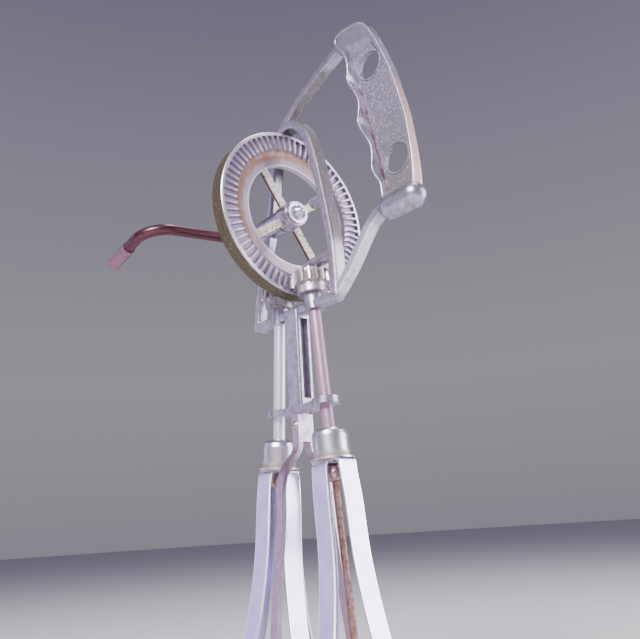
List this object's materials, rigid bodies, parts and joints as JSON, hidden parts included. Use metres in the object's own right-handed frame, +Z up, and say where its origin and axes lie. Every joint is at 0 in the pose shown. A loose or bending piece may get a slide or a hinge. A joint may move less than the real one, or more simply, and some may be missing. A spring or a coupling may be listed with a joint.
{
  "type": "hand-cranked rotary egg whisk",
  "caption": "Hand-cranked kitchen whisk: a crown gear wheel on a cast frame with a loop handle drives splayed wire-blade beaters above a small foot.",
  "frame": {"origin": "middle of the foot bar's underside, on the surface the whisk stands on", "axes": "+Z up the stem to the handle's crown, +X from the crank axle's rear boss towards the handle, the crank's arm points to -Y at rest"},
  "size_m": [0.149, 0.0982, 0.307],
  "materials": {
    "frame_alloy": "sand-cast grain, worn bright on the edges",
    "leg_steel": "mottled, lightly rusted",
    "rivet_steel": "worn",
    "foot_steel": "worn",
    "wheel_metal": "worn bronze-grey plating with rust",
    "crank_steel": "smooth dark copper-brown oxide",
    "ferrule_metal": "satin",
    "pin_steel": "dull",
    "washer_steel": "satin",
    "nut_steel": "satin",
    "left_shaft_steel": "polished, worn",
    "right_shaft_steel": "copper-pink, worn",
    "pinion_metal": "bright on the teeth",
    "cap_plate": "bright plating with brown tarnish at the flange",
    "blade_steel": "polished",
    "ball_bronze": "dull bronze",
    "spindle_steel": "mottled rust",
    "collar_steel": "satin"
  },
  "bodies": {
    "frame": {"frame_casting": "frame_alloy", "leg_strap": "leg_steel", "leg_rivet": "rivet_steel", "foot_bar": "foot_steel", "foot_rivet": "rivet_steel"},
    "wheel": {"gear_wheel": "wheel_metal", "crank_rod": "crank_steel", "crank_ferrule": "ferrule_metal", "hub_pin": "pin_steel", "thrust_washer": "washer_steel", "hub_washer": "washer_steel", "axle_nut": "nut_steel"},
    "left_beater": {"left_drive_shaft": "left_shaft_steel", "left_pinion": "pinion_metal", "left_pinion_pin": "pin_steel", "left_blade_cap": "cap_plate", "left_outer_blade": "blade_steel", "left_inner_blade": "blade_steel", "left_ball_nut": "ball_bronze", "left_spindle": "spindle_steel", "left_spindle_collar": "collar_steel"},
    "right_beater": {"right_drive_shaft": "right_shaft_steel", "right_pinion": "pinion_metal", "right_pinion_pin": "pin_steel", "right_blade_cap": "cap_plate", "right_outer_blade": "blade_steel", "right_inner_blade": "blade_steel", "right_ball_nut": "ball_bronze", "right_spindle": "spindle_steel", "right_spindle_collar": "collar_steel"}
  },
  "joints": [
    {"name": "wheel_spin", "type": "hinge", "parent": "frame", "child": "wheel", "pos_m": [0, 0, 0.238], "axis": [1, 0, 0], "continuous": true},
    {"name": "left_beater_spin", "type": "hinge", "parent": "frame", "child": "left_beater", "pos_m": [-0.0114, 0, 0.203], "axis": [0.0837, 0, 0.9965], "continuous": true},
    {"name": "right_beater_spin", "type": "hinge", "parent": "frame", "child": "right_beater", "pos_m": [0.0114, 0, 0.203], "axis": [-0.0837, 0, 0.9965], "continuous": true}
  ],
  "couplings": [
    {"joint": "left_beater_spin", "follows": "wheel_spin", "ratio": 4.375},
    {"joint": "right_beater_spin", "follows": "wheel_spin", "ratio": -4.375}
  ]
}
